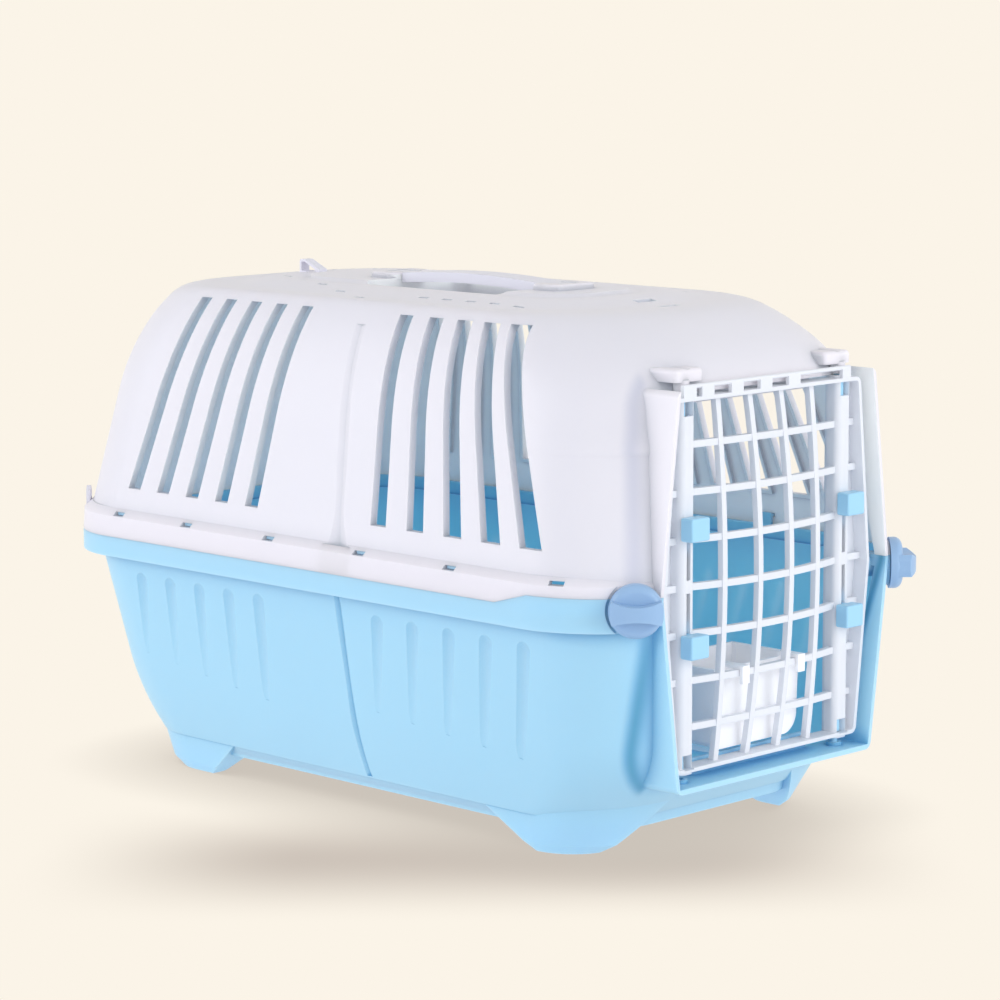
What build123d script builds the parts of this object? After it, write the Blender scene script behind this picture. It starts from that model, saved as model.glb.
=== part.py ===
from build123d import *
import math
import os

os.makedirs("parts", exist_ok=True)

# Overall size: X runs to the door end, Y across, Z up, feet stand on Z = 0
overall_length = 483.0
overall_width = 284.0
rear_x = -overall_length / 2
front_x = overall_length / 2
half_width = overall_width / 2
frame_shift = 4.2

# Wall thicknesses and clearances
wall = 2.6
base_wall = 2.8
rim_skirt_thickness = 2.5
seat_gap = 0.1
running_clearance = 0.08
pin_clearance = 0.1
slide_clearance = 0.3

# Seam, rim band and lip between the base and the upper shell
seam_z = 148.7
band_bottom_z = 136.4
band_plate_thickness = 2.5
band_corner_radius = 62.0
band_front_x = 238.0
lip_top_z = 161.5
lip_ledge_z = 166.0
lip_draft = 0.8
ear_top_z = 155.3
ear_ramp_start_x = 157.0
ear_ramp_end_x = 181.0
ear_thickness = 7.0
tongue_outer_inset = 8.0
tongue_thickness = 2.5
tongue_top_z = 157.0

# Base tray walls
base_foot_z = 14.0
base_crease_z = 22.0
base_half_width_top = 131.0
base_rear_inset = 11.0
base_front_top_x = 236.0
base_side_lean = 0.17
base_front_lean = 0.11
base_round_start_z = 70.0
base_side_round_rate = 0.0028
base_front_round_rate = 0.0115
base_round_steps = 5
base_corner_radius = 53.0
base_sole_step = 1.4
base_sole_chamfer = 5.0
base_floor_thickness = 3.0

# Feet
foot_root_z = 32.0
foot_root_side_inset = 3.5
foot_root_front_inset = 0.3
foot_root_corner = 50.0
foot_ankle_z = 5.0
foot_ankle_rear_x = -192.0
foot_ankle_front_x = 188.0
foot_ankle_half = 102.0
foot_ankle_corner = 42.0
foot_toe_rear_x = -178.0
foot_toe_front_x = 178.0
foot_toe_half = 99.6
foot_toe_corner = 30.0
foot_root_inner_x = 94.0
foot_root_inner_y = 52.0
rear_toe_inner_x = -131.0
front_toe_inner_x = 148.0
foot_toe_inner_y = 78.0
foot_inner_corner = 16.0
foot_reach = 230.0

# Upper shell walls
upper_half_width_seam = 139.7
upper_rear_seam_x = -238.1
upper_front_seam_x = 238.0
side_lean = 0.19
rear_lean = 0.16
front_lean = 0.07
crown_z = 308.0
crown_fall = 6.0
crown_half_width = 80.0
shoulder_start_z = 235.0
shoulder_reach = 27.0
rear_shoulder_factor = 1.35
brow_start_z = 255.0
brow_rate = 0.0225
wall_straight_z = 230.0
shoulder_levels = (230.0, 241.0, 252.0, 262.0, 271.0, 279.0, 286.0, 292.0, 296.5)
roof_half_widths = (82.0, 67.0, 52.0, 37.0)
roof_corner_share = 0.8
upper_rear_radius = 58.0
upper_front_radius = 60.0
brow_radius = 75.0
roof_rear_margin = 85.0
roof_front_margin = 70.0

# Ventilation slots in the sides, fanned towards one point above the roof
slot_bottom_z = 178.8
slot_top_z = 296.0
fan_x = -11.7
fan_z = 914.0
slot_count = 5
rear_slot_start_x = -160.7
rear_slot_pitch = 27.05
rear_slot_width = 11.3
front_slot_start_x = 56.5
front_slot_pitch = 30.0
front_slot_width = 12.6
front_slot_growth = 0.8
front_slot_bend = 0.75
rear_slot_bend = 7.5
slot_rib_width = 2.2
slot_rib_depth = 5.0
slot_rib_inner_y = 90.0
slot_inner_y = 60.0

# Roof vents, centre crease and snap windows
vent_length = 8.0
vent_width = 2.4
vent_reach = 14.0
rear_vent_start_x = -125.0
rear_vent_pitch = 28.0
rear_vent_y = 38.0
rear_vent_step = 11.0
front_vent_start_x = 29.0
front_vent_pitch = 19.3
front_vent_y = 70.0
crease_x = 17.5
crease_width = 5.0
crease_depth = 1.5
upper_crease_x = 27.0
upper_crease_top_x = 11.5
upper_crease_width = 8.0
upper_crease_depth = 1.0
window_positions = (-168.9, -105.5, -31.3, 46.2, 119.7, 198.7)
window_width = 9.0
window_height = 2.4
window_z = 162.9
tab_width = 7.0
tab_thickness = 2.0
tab_inset = 8.4
tab_top_z = 164.4
barb_reach = 4.0
barb_height = 1.6

# Shallow flutes in the base walls
flute_radius = 9.0
flute_depth = 1.4
flute_top_z = 120.0
rear_flute_shift = 1.0
rear_flute_run = 5.2
rear_flute_bottom_z = 73.0
front_flute_start_x = 49.0
front_flute_pitch = 29.25
front_flute_run = 9.5
front_flute_fan = 3.4
front_flute_bottom_z = 65.0
rear_flute_fall = 15.0
front_flute_fall = 10.0

# Collar round the door opening
collar_front_x = 240.0
collar_rear_x = 190.0
collar_wall = 2.5
collar_bottom_z = 43.5
collar_bottom_half = 83.8
collar_mid_z = 153.0
collar_mid_half = 98.6
collar_top_z = 266.0
collar_top_half = 84.6
collar_floor_thickness = 3.0
collar_lower_corner = 5.0
collar_upper_corner = 5.0
collar_upstand_rear_x = 215.0
opening_top_z = 262.6
stop_rear_x = 217.0
stop_front_x = 219.5
stop_half = 50.0
lower_stop_top_z = 56.0
upper_stop_bottom_z = 255.5
upper_stop_shelf_z = 265.0

# Door frame, grille bars and latch channels
door_axis_x = 226.2
channel_y = 67.0
channel_width = 12.0
channel_corner = 4.0
channel_bottom_z = 51.6
channel_top_z = 262.2
channel_cap = 4.0
door_bottom_z = 53.0
door_mid_z = 153.0
door_inner_top_z = 260.8
door_bottom_half = 78.2
door_mid_half = 89.0
door_top_half = 79.2
rim_rear_x = 222.5
rim_front_x = 233.6
rim_thickness = 2.2
rim_corner = 4.5
web_thickness = 2.0
top_bar_radius = 1.25
top_bar_x = 232.4
top_bar_z = 266.6
post_inner_y = 62.6
bar_near_end = 73.0
bar_far_end = 70.0
tie_count = 4
tie_spacing = 24.4
tie_width = 10.0
tie_start_y = -53.0
grille_rows = 7
grille_row_top_z = 234.3
grille_row_pitch = 26.2
grille_columns = 4
grille_column_pitch = 26.7
grille_bar = 3.8
grille_column_lead = 0.5
grille_x = 226.6
grille_bulge = 10.0
grille_half_height = 103.0
grille_centre_z = 156.9

# Latch rods, thumb blocks, springs and their seats
rod_radius = 3.5
pin_radius = 2.2
pin_length = 12.1
latch_travel = 8.0
rod_inner_end_z = 176.0
near_shoulder_z = 249.9
far_shoulder_z = 257.9
mirror_z = 156.5
block_centre_z = 189.0
block_height = 13.0
block_width = 14.8
block_rear_x = 232.6
block_front_x = 241.5
block_edge = 1.2
neck_width = 2.4
neck_bottom_z = 182.5
neck_top_z = 186.5
neck_slot_width = 3.0
bridge_half = 3.6
plug_half = 2.0
seat_post_radius = 1.4
seat_post_half = 10.0
spring_wire = 0.6
spring_coil_radius = 2.3
spring_turns = 8
pin_window_width = 7.6
pin_window_height = 8.2
pin_window_cap = 3.6

# Sockets for the latch pins
socket_radius = 4.4
socket_bottom_z = 263.0
boss_bottom_z = 268.8
boss_top_z = 276.0
boss_roof = 3.5
boss_rear_x = 206.0
boss_front_x = 229.5
boss_inner_y = 52.0
boss_outer_y = 75.0
boss_corner = 3.0
boss_notch_y = 64.0
boss_notch_radius = 4.0
boss_notch_depth = 0.8
lower_ring_top_z = 48.5

# Turn knobs on the front corners
knob_x = 229.7
knob_y = 107.2
knob_z = 149.0
knob_angle = 45.0
pad_radius = 13.0
pad_front = 2.5
pad_back = 12.0
bush_radius = 8.0
knob_seat = 2.8
knob_radius = 15.0
knob_disc_thickness = 7.5
knob_disc_edge = 4.5
knob_recess_radius = 16.6
grip_total_height = 16.0
grip_length = 29.0
grip_end_width = 14.0
grip_waist_width = 8.0
grip_end_drop = 5.0
shaft_radius = 3.5
cam_gap = 0.4
cam_thickness = 3.0
cam_length = 14.0
cam_width = 7.0

# Carrying handle and strap loops on the roof
handle_rear_x = -52.1
handle_front_x = 63.2
handle_crest_z = 312.4
handle_end_z = 309.8
handle_grip_thickness = 6.0
handle_grip_half = 10.0
pocket_margin = 0.6
pocket_half = 42.0
pocket_floor_z = 292.0
pocket_wall = 2.5
pocket_corner = 6.0
pedestal_length = 28.0
pedestal_gap = 0.4
pedestal_half = 18.0
pedestal_top_z = 310.2
pedestal_corner = 6.0
pedestal_edge = 2.0
pin_end_recess = 2.0
pin_end_gap = 0.2
tongue_half = 8.0
handle_tongue_length = 16.0
handle_pin_radius = 1.0
handle_pin_z = 308.3
rear_loop_x = -152.5
rear_loop_length = 18.0
rear_loop_top_z = 312.8
rear_loop_half = 3.4
loop_strap = 1.6
loop_front_z = 307.0
loop_eye_bottom_z = 305.6
loop_crest_start = 0.8
loop_crest_end = 4.8
front_slot_x = 136.0
front_slot_gap = 19.0
strap_slot_width = 5.0
strap_slot_half = 8.0

# Feeding bowl
bowl_front_x = 223.4
bowl_depth = 50.0
bowl_near_y = -35.0
bowl_far_y = 38.0
bowl_bottom_z = 58.8
bowl_top_z = 104.5
bowl_wall = 2.0
bowl_draft = 2.0
bowl_near_corner = 4.0
bowl_far_corner = 12.0
hook_y = 24.0
hook_width = 6.0
hook_thickness = 2.2
hook_drop = 8.0
hook_row = 5

# Rear clips
clip_angle = 45.0
clip_inset = 3.4
clip_radius = 5.0
clip_thickness = 2.4
clip_bore = 2.4
clip_centre_z = 169.0


def hand_over(shape, name):
    export_step(Pos(-frame_shift, 0, 0) * shape, f"parts/{name}.step")


def plan_face(z, x_rear, x_front, half, rear_radius, front_radius):
    near = Line((x_rear + rear_radius, -half), (x_front - front_radius, -half))
    near_front = JernArc(near @ 1, near % 1, front_radius, 90)
    front = Line(near_front @ 1, (x_front, half - front_radius))
    far_front = JernArc(front @ 1, front % 1, front_radius, 90)
    far = Line(far_front @ 1, (x_rear + rear_radius, half))
    far_rear = JernArc(far @ 1, far % 1, rear_radius, 90)
    rear = Line(far_rear @ 1, (x_rear, -(half - rear_radius)))
    near_rear = JernArc(rear @ 1, rear % 1, rear_radius, 90)
    outline = near + near_front + front + far_front + far + far_rear + rear + near_rear
    return Pos(0, 0, z) * make_face(outline)


def block(x0, x1, y0, y1, z0, z1):
    centre = Pos((x0 + x1) / 2, (y0 + y1) / 2, (z0 + z1) / 2)
    return centre * Box(x1 - x0, y1 - y0, z1 - z0)


def post(x, y, z0, z1, radius):
    return Pos(x, y, (z0 + z1) / 2) * Cylinder(radius, z1 - z0)


def yz_prism(points, x0, x1):
    face = Plane.YZ * Polygon(*points, align=None)
    return Pos(x0, 0, 0) * extrude(face, amount=x1 - x0, dir=(1, 0, 0))


def xz_prism(points, y0, y1):
    face = Plane.XZ * Polygon(*points, align=None)
    return Pos(0, y1, 0) * extrude(face, amount=y1 - y0, dir=(0, -1, 0))


# Upper shell surface
def shoulder_drop(z):
    rise = max(0.0, (z - shoulder_start_z) / (crown_z - shoulder_start_z))
    return shoulder_reach * (1 - math.sqrt(1 - rise * rise))


def brow_drop(z):
    return brow_rate * max(0.0, z - brow_start_z) ** 2


def upper_half(z):
    return upper_half_width_seam - side_lean * (z - seam_z) - shoulder_drop(z)


def upper_rear(z):
    return upper_rear_seam_x + rear_lean * (z - seam_z) + rear_shoulder_factor * shoulder_drop(z)


def upper_front(z):
    return upper_front_seam_x - front_lean * (z - seam_z) - brow_drop(z)


def corner_blend(z):
    return min(1.0, max(0.0, (z - seam_z) / (brow_start_z - seam_z)))


def upper_section(z, inset):
    slope = upper_half(z - 0.5) - upper_half(z + 0.5)
    outward = inset / math.sqrt(1 + slope * slope)
    rise = 0.0 if z == seam_z else outward * slope
    front_corner = upper_front_radius + (brow_radius - upper_front_radius) * corner_blend(z)
    return plan_face(
        z - rise,
        upper_rear(z) + outward,
        upper_front(z) - outward,
        upper_half(z) - outward,
        upper_rear_radius - inset,
        front_corner - inset,
    )


def roof_section(half, inset):
    z = crown_z - crown_fall * (half / crown_half_width) ** 2 - inset
    corner = roof_corner_share * half
    return plan_face(z, -(half + roof_rear_margin), half + roof_front_margin, half, corner, corner)


def upper_form(inset):
    walls = loft([upper_section(z, inset) for z in (seam_z, 188.0, wall_straight_z)], ruled=True)
    shoulder = [upper_section(z, inset) for z in shoulder_levels]
    roof = [roof_section(half, inset) for half in roof_half_widths]
    return walls + loft(shoulder + roof)


# Base tray surface
def base_round(z, rate):
    return rate * max(0.0, base_round_start_z - z) ** 2


def base_half(z):
    fall = band_bottom_z - z
    return base_half_width_top - base_side_lean * fall - base_round(z, base_side_round_rate)


def base_rear(z):
    fall = band_bottom_z - z
    return rear_x + base_rear_inset + base_side_lean * fall + base_round(z, base_side_round_rate)


def base_front(z):
    fall = band_bottom_z - z
    return base_front_top_x - base_front_lean * fall - base_round(z, base_front_round_rate)


def base_section(z, inset):
    corner = base_corner_radius - inset
    front = base_front(z) - inset
    return plan_face(z, base_rear(z) + inset, front, base_half(z) - inset, corner, corner)


def base_form(inset, top_z, bottom_z):
    walls = loft([base_section(z, inset) for z in (top_z, base_round_start_z)], ruled=True)
    step = (base_round_start_z - bottom_z) / base_round_steps
    levels = [base_round_start_z - step * index for index in range(base_round_steps + 1)]
    return walls + loft([base_section(z, inset) for z in levels])


def sole_section(z, inset):
    rear = base_rear(base_crease_z) + inset
    front = base_front(base_crease_z) - inset
    corner = base_corner_radius - inset
    return plan_face(z, rear, front, base_half(base_crease_z) - inset, corner, corner)


# Collar outline in the YZ plane
def collar_half(z):
    if z < collar_mid_z:
        share = (z - collar_bottom_z) / (collar_mid_z - collar_bottom_z)
        return collar_bottom_half + (collar_mid_half - collar_bottom_half) * share
    share = (z - collar_mid_z) / (collar_top_z - collar_mid_z)
    return collar_mid_half + (collar_top_half - collar_mid_half) * share


def collar_points(bottom, top, inset):
    points = [(-(collar_half(bottom) - inset), bottom)]
    points.append((collar_half(bottom) - inset, bottom))
    if bottom < collar_mid_z < top:
        points.append((collar_mid_half - inset, collar_mid_z))
    points.append((collar_half(top) - inset, top))
    points.append((-(collar_half(top) - inset), top))
    if bottom < collar_mid_z < top:
        points.append((-(collar_mid_half - inset), collar_mid_z))
    return points


collar_block = yz_prism(collar_points(collar_bottom_z, collar_top_z, 0), collar_rear_x, collar_front_x)
collar_edges = collar_block.edges().filter_by(Axis.X).sort_by(Axis.Z)
collar_block = fillet(collar_edges[:2], collar_lower_corner)
collar_edges = collar_block.edges().filter_by(Axis.X).sort_by(Axis.Z)
collar_block = fillet(collar_edges[-2:], collar_upper_corner)
collar_hollow_bottom = collar_bottom_z + collar_floor_thickness
collar_hollow = yz_prism(
    collar_points(collar_hollow_bottom, collar_top_z + 4, collar_wall),
    collar_rear_x - 4,
    collar_front_x + 4,
)
collar_ring = collar_block - collar_hollow
door_opening = yz_prism(
    collar_points(collar_hollow_bottom, opening_top_z, collar_wall),
    collar_rear_x,
    collar_front_x + 4,
)
front_trim = block(collar_front_x, collar_front_x + 30, -half_width, half_width, 0, crown_z)


# Knob axis on a front corner: side is -1 for the near corner and +1 for the far one
def knob_plane(side, along):
    outward = Vector(math.cos(math.radians(knob_angle)), side * math.sin(math.radians(knob_angle)), 0)
    origin = Vector(knob_x, side * knob_y, knob_z) + outward * along
    level = Vector(outward.Y, -outward.X, 0)
    return Plane(origin=origin, x_dir=level, z_dir=outward)


def knob_cylinder(side, start, end, radius):
    return extrude(knob_plane(side, start) * Circle(radius), amount=end - start)


# Rim band, ear and tongue
def band_face(z, inset):
    corner = band_corner_radius - inset
    return plan_face(z, rear_x + inset, band_front_x - inset, half_width - inset, corner, corner)


def band_ring(z0, z1, outer_inset, inner_inset):
    outer = extrude(band_face(z0, outer_inset), amount=z1 - z0)
    inner = extrude(band_face(z0 - 1, inner_inset), amount=z1 - z0 + 2)
    return outer - inner


ear_points = [
    (ear_ramp_start_x, seam_z),
    (ear_ramp_end_x, ear_top_z),
    (band_front_x + 10, ear_top_z),
    (band_front_x + 10, seam_z),
]
ear_zone = xz_prism(ear_points, -half_width - 5, half_width + 5)
ear_ring = band_ring(seam_z, ear_top_z, 0, ear_thickness) & ear_zone


def rim_location(x, inset):
    centre_x = band_front_x - band_corner_radius
    if x <= centre_x:
        return Pos(x, half_width - inset, 0)
    turn = math.asin((x - centre_x) / band_corner_radius)
    reach = band_corner_radius - inset
    centre_y = half_width - band_corner_radius
    place = Pos(centre_x + reach * math.sin(turn), centre_y + reach * math.cos(turn), 0)
    return place * Rot(0, 0, -math.degrees(turn))


# Feet
foot_root = plan_face(
    foot_root_z,
    base_rear(foot_root_z) + foot_root_side_inset,
    base_front(foot_root_z) - foot_root_front_inset,
    base_half(foot_root_z) - foot_root_side_inset,
    foot_root_corner,
    foot_root_corner,
)
foot_ankle = plan_face(
    foot_ankle_z, foot_ankle_rear_x, foot_ankle_front_x, foot_ankle_half, foot_ankle_corner, foot_ankle_corner
)
foot_toe = plan_face(0, foot_toe_rear_x, foot_toe_front_x, foot_toe_half, foot_toe_corner, foot_toe_corner)
foot_envelope = loft([foot_root, foot_ankle, foot_toe], ruled=True)


def foot_zone(toe_inner_x, side):
    end = math.copysign(1, toe_inner_x)
    faces = []
    for z, inner_x, inner_y in (
        (foot_root_z, foot_root_inner_x, foot_root_inner_y),
        (0, abs(toe_inner_x), foot_toe_inner_y),
    ):
        place = Pos(end * (foot_reach + inner_x) / 2, side * (half_width + inner_y) / 2, z)
        outline = RectangleRounded(foot_reach - inner_x, half_width - inner_y, foot_inner_corner)
        faces.append(place * outline)
    return loft(faces, ruled=True)


# Base tray
def base_crease():
    sections = []
    for z in (band_bottom_z, 100.0, base_round_start_z, 45.0, base_crease_z + 1):
        surface = base_half(z)
        tip = (crease_x, surface - crease_depth)
        reach = crease_width / 2 * 3
        left = (crease_x - reach, surface + 2 * crease_depth)
        right = (crease_x + reach, surface + 2 * crease_depth)
        sections.append(Pos(0, 0, z) * Polygon(tip, right, left, align=None))
    return loft(sections)


def flute(x_top, x_bottom, z_bottom):
    start = Vector(x_top, base_half(flute_top_z) - flute_depth + flute_radius, flute_top_z)
    end = Vector(x_bottom, base_half(z_bottom) + flute_radius, z_bottom)
    along = end - start
    groove = extrude(Plane(origin=start, z_dir=along) * Circle(flute_radius), amount=along.length)
    return groove + Pos(start.X, start.Y, start.Z) * Sphere(flute_radius)


def base_grooves():
    near_tools = [base_crease()]
    for index in range(slot_count):
        share = index / (slot_count - 1)
        rear_top = rear_slot_start_x + rear_slot_pitch * index - rear_flute_shift
        rear_low_z = rear_flute_bottom_z - rear_flute_fall * share
        near_tools.append(flute(rear_top, rear_top - rear_flute_run, rear_low_z))
        front_top = front_flute_start_x + front_flute_pitch * index
        front_low_x = front_top - front_flute_run - front_flute_fan * share
        front_low_z = front_flute_bottom_z - front_flute_fall * share
        near_tools.append(flute(front_top, front_low_x, front_low_z))
    return near_tools


base_outer = base_form(0, seam_z, base_crease_z)
sole_top = sole_section(base_crease_z, base_sole_step)
sole_bottom = sole_section(base_foot_z, base_sole_step + base_sole_chamfer)
sole = loft([sole_top, sole_bottom], ruled=True)
base_cavity = base_form(base_wall, seam_z + 20, base_foot_z + base_floor_thickness)

base = base_outer + sole
for side in (-1, 1):
    base += foot_envelope & foot_zone(rear_toe_inner_x, side)
    base += foot_envelope & foot_zone(front_toe_inner_x, side)
base -= [tool for tool in base_grooves()]
base -= [mirror(tool, about=Plane.XZ) for tool in base_grooves()]
base += collar_ring
base -= block(rear_x - 5, front_x + 5, -half_width, half_width, seam_z, crown_z)
base += band_ring(band_bottom_z, seam_z, 0, rim_skirt_thickness)
base += band_ring(seam_z - band_plate_thickness, seam_z, 0, tongue_outer_inset + tongue_thickness)
base += band_ring(seam_z - 1, tongue_top_z, tongue_outer_inset, tongue_outer_inset + tongue_thickness)
ear_block = block(0, front_x, -half_width, half_width, 0, ear_top_z)
for side in (-1, 1):
    base += knob_cylinder(side, -pad_back, pad_front, pad_radius) & ear_block
upstand_points = collar_points(seam_z - 1, ear_top_z, 0)
base += yz_prism(upstand_points, collar_upstand_rear_x, collar_front_x) - collar_hollow
base -= base_cavity
base += ear_ring
base -= door_opening
base -= front_trim
socket_hole_radius = pin_radius + pin_clearance
for side in (-1, 1):
    base += knob_cylinder(side, -pad_back, 0, bush_radius) & ear_block
    base -= knob_cylinder(side, pad_front, pad_front + 30, knob_recess_radius)
    base -= knob_cylinder(side, -pad_back - 5, pad_front + 5, shaft_radius + running_clearance)
    base += post(door_axis_x, side * channel_y, collar_hollow_bottom - 1, lower_ring_top_z, socket_radius)
    base -= post(
        door_axis_x, side * channel_y, collar_bottom_z - 1, lower_ring_top_z + 1, socket_hole_radius
    )
for x in window_positions[:-1]:
    tab_centre = Pos(0, -tab_thickness / 2, (seam_z + tab_top_z) / 2)
    tab = tab_centre * Box(tab_width, tab_thickness, tab_top_z - seam_z)
    barb = Pos(0, barb_reach / 2, window_z) * Box(tab_width, barb_reach, barb_height)
    lug = rim_location(x, tab_inset) * (tab + barb)
    base += lug
    base += mirror(lug, about=Plane.XZ)
base += block(stop_rear_x, stop_front_x, -stop_half, stop_half, collar_hollow_bottom - 1, lower_stop_top_z)
hand_over(base, "base_tray")


# Upper shell
def fan_position(x, z):
    return fan_x + (x - fan_x) * (fan_z - z) / (fan_z - slot_bottom_z)


def slot_prism(centre, width, bend, margin, inner_y, outer_y):
    low = slot_bottom_z - margin
    high = slot_top_z + margin
    corners = []
    for z, ends, shift in ((low, (-1, 1), 0), (high, (1, -1), bend)):
        shrink = (fan_z - z) / (fan_z - slot_bottom_z)
        for end in ends:
            corners.append((fan_position(centre, z) + shift + end * (width * shrink / 2 + margin), z))
    return xz_prism(corners, -outer_y, -inner_y)


def slots():
    row = []
    for index in range(slot_count):
        row.append((rear_slot_start_x + rear_slot_pitch * index, rear_slot_width, rear_slot_bend))
        width = front_slot_width + front_slot_growth * index
        bend = -front_slot_bend * index * index
        row.append((front_slot_start_x + front_slot_pitch * index, width, bend))
    return row


def upper_crease():
    sections = []
    for z in (seam_z - 1, 180.0, 205.0, wall_straight_z, 250.0, 266.0, 279.0, 289.0):
        lean = (z - seam_z) / (slot_top_z - seam_z)
        x = upper_crease_x + (upper_crease_top_x - upper_crease_x) * lean
        tip = (x, upper_half(z) - upper_crease_depth)
        reach = upper_crease_width / 2 * 3
        left = (x - reach, upper_half(z) + 2 * upper_crease_depth)
        right = (x + reach, upper_half(z) + 2 * upper_crease_depth)
        sections.append(Pos(0, 0, z) * Polygon(tip, right, left, align=None))
    return loft(sections)


def vents():
    tools = []
    for index in range(slot_count):
        rear = (rear_vent_start_x + rear_vent_pitch * index, rear_vent_y + rear_vent_step * index)
        front = (front_vent_start_x + front_vent_pitch * index, front_vent_y)
        for x, y in (rear, front):
            tool = Box(vent_length, vent_width, vent_reach)
            tools.append(Pos(x, -y, crown_z - vent_reach / 2) * tool)
    return tools


upper_outer = upper_form(0)
upper_thin = upper_form(wall)
upper_thick = upper_form(slot_rib_depth)

ledge_inset = half_width - upper_half(lip_ledge_z)
lip = loft(
    [band_face(seam_z, 0), band_face(lip_top_z, lip_draft), band_face(lip_ledge_z, ledge_inset)],
    ruled=True,
)

pocket_rear_x = handle_rear_x - pocket_margin
pocket_front_x = handle_front_x + pocket_margin
pocket_outer = block(
    pocket_rear_x - pocket_wall,
    pocket_front_x + pocket_wall,
    -pocket_half - pocket_wall,
    pocket_half + pocket_wall,
    pocket_floor_z - pocket_wall,
    crown_z - crown_fall / 2,
)
pocket_hollow = block(
    pocket_rear_x, pocket_front_x, -pocket_half, pocket_half, pocket_floor_z, crown_z + 5
)
pocket_hollow = fillet(pocket_hollow.edges().filter_by(Axis.Z), pocket_corner)
roof_z = crown_z - crown_fall * (roof_half_widths[-1] / crown_half_width) ** 2

rib_tools = []
slot_tools = []
for centre, width, bend in slots():
    rib_tools.append(slot_prism(centre, width, bend, slot_rib_width, slot_rib_inner_y, half_width))
    slot_tools.append(slot_prism(centre, width, bend, 0, slot_inner_y, half_width + 5))
near_ribs = Part() + rib_tools
near_ribs -= upper_thick
cavity = upper_thin - near_ribs
cavity -= mirror(near_ribs, about=Plane.XZ)

top = upper_outer + lip
top += collar_ring - block(0, front_x + 9, -half_width, half_width, 0, seam_z)
for side in (-1, 1):
    top += knob_cylinder(side, -pad_back, pad_front, pad_radius)
    top += post(door_axis_x, side * channel_y, socket_bottom_z, boss_bottom_z + 1, socket_radius)
    boss = block(boss_rear_x, boss_front_x, boss_inner_y, boss_outer_y, boss_bottom_z, boss_top_z)
    boss = fillet(boss.edges().filter_by(Axis.Z).sort_by(Axis.X)[-2:], boss_corner)
    boss_top_edges = boss.faces().sort_by(Axis.Z)[-1].edges().sort_by(Axis.X)[1:]
    boss = fillet(boss_top_edges, boss_corner - 0.5)
    notch_z = boss_top_z + boss_notch_radius - boss_notch_depth
    notch = Pos(boss_front_x, boss_notch_y, notch_z) * Rot(0, 90, 0) * Cylinder(boss_notch_radius, 60)
    boss -= notch
    top += boss if side > 0 else mirror(boss, about=Plane.XZ)
top -= cavity
top -= block(rear_x - 5, front_x + 9, -half_width - 5, half_width + 5, 0, seam_z)
top += pocket_outer & upper_outer
top -= pocket_hollow
top -= [tool for tool in slot_tools]
top -= [mirror(tool, about=Plane.XZ) for tool in slot_tools]
top -= upper_crease()
top -= mirror(upper_crease(), about=Plane.XZ)
top -= [tool for tool in vents()]
top -= [mirror(tool, about=Plane.XZ) for tool in vents()]
top -= door_opening
top -= front_trim
top -= ear_zone
top += block(stop_rear_x, stop_front_x, -stop_half, stop_half, upper_stop_bottom_z, upper_stop_shelf_z)
top += block(stop_rear_x, stop_front_x + 9, -stop_half, stop_half, opening_top_z, upper_stop_shelf_z)
for side in (-1, 1):
    top -= knob_cylinder(side, pad_front, pad_front + 30, knob_recess_radius)
    top -= knob_cylinder(side, -pad_back - 1, pad_front, pad_radius) & ear_block
    top -= post(door_axis_x, side * channel_y, socket_bottom_z - 1, boss_top_z - boss_roof, socket_hole_radius)
for x in window_positions:
    window = rim_location(x, 0) * Pos(0, -6, window_z) * Box(window_width, 18, window_height)
    top -= window
    top -= mirror(window, about=Plane.XZ)
for x in (front_slot_x, front_slot_x + front_slot_gap):
    top -= block(x, x + strap_slot_width, -strap_slot_half, strap_slot_half, crown_z - 15, crown_z)

handle_pin_xs = (handle_rear_x - handle_tongue_length / 2, handle_front_x + handle_tongue_length / 2)
for pin_x, end in zip(handle_pin_xs, (-1, 1)):
    inner_end_x = pin_x - end * (handle_tongue_length / 2 - pedestal_gap)
    outer_end_x = pin_x + end * pedestal_length / 2
    pedestal = block(
        min(inner_end_x, outer_end_x), max(inner_end_x, outer_end_x),
        -pedestal_half, pedestal_half, roof_z - 1, pedestal_top_z,
    )
    pedestal = fillet(pedestal.edges().filter_by(Axis.Z), pedestal_corner)
    pedestal = fillet(pedestal.faces().sort_by(Axis.Z)[-1].edges(), pedestal_edge)
    top += pedestal
    slot_end_x = pin_x + end * (handle_tongue_length / 2 + pocket_margin)
    slot_mouth_x = inner_end_x - end
    top -= block(
        min(slot_end_x, slot_mouth_x), max(slot_end_x, slot_mouth_x),
        -tongue_half, tongue_half, roof_z, crown_z + 9,
    )
    pin_bore = Pos(pin_x, 0, handle_pin_z) * Rot(90, 0, 0)
    top -= pin_bore * Cylinder(handle_pin_radius + seat_gap, 2 * (pedestal_half - pin_end_recess))
hand_over(top, "top_shell")


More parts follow.
